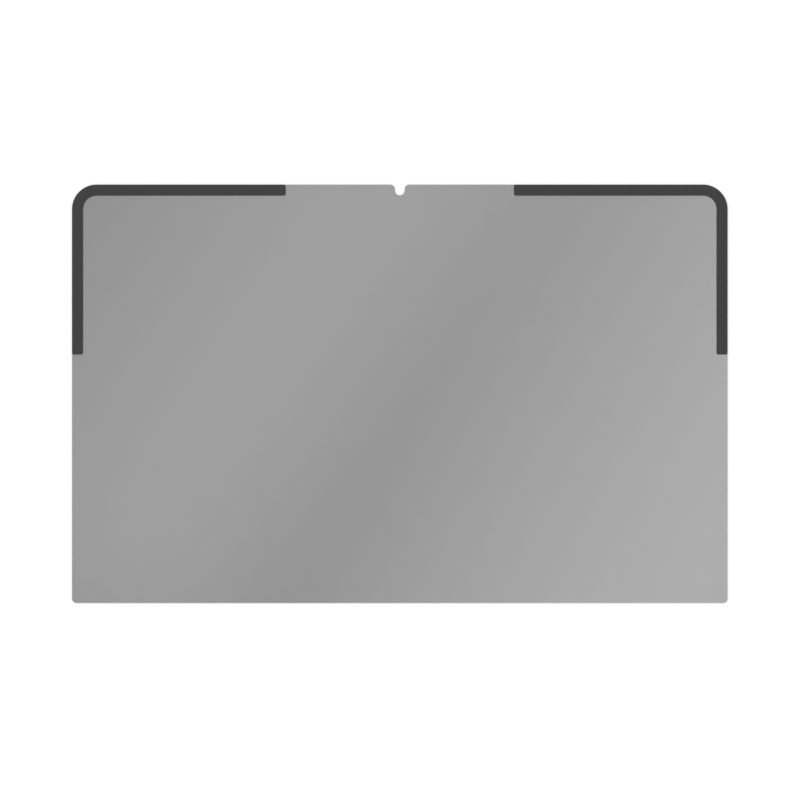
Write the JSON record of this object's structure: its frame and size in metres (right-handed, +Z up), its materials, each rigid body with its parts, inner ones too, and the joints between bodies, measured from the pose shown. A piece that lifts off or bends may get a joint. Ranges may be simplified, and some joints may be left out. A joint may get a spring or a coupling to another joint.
{
  "type": "laptop privacy filter",
  "caption": "Thin smoked sheet for a laptop display with rounded top corners, a small camera notch and dark L-shaped magnet strips bonded round its top corners.",
  "frame": {"origin": "under the middle of the sheet, on the surface that its plain face lies on", "axes": "+X to the right along the sheet's width, +Y to the edge with the camera notch, +Z up through the sheet to the face that carries the magnet strips"},
  "size_m": [0.3, 0.1914, 0.0009],
  "materials": {
    "smoked_film": "gloss",
    "magnet_strip": "matte"
  },
  "bodies": {
    "root": {"filter_sheet": "smoked_film", "magnet_strip_left": "magnet_strip", "magnet_strip_right": "magnet_strip"}
  },
  "joints": []
}
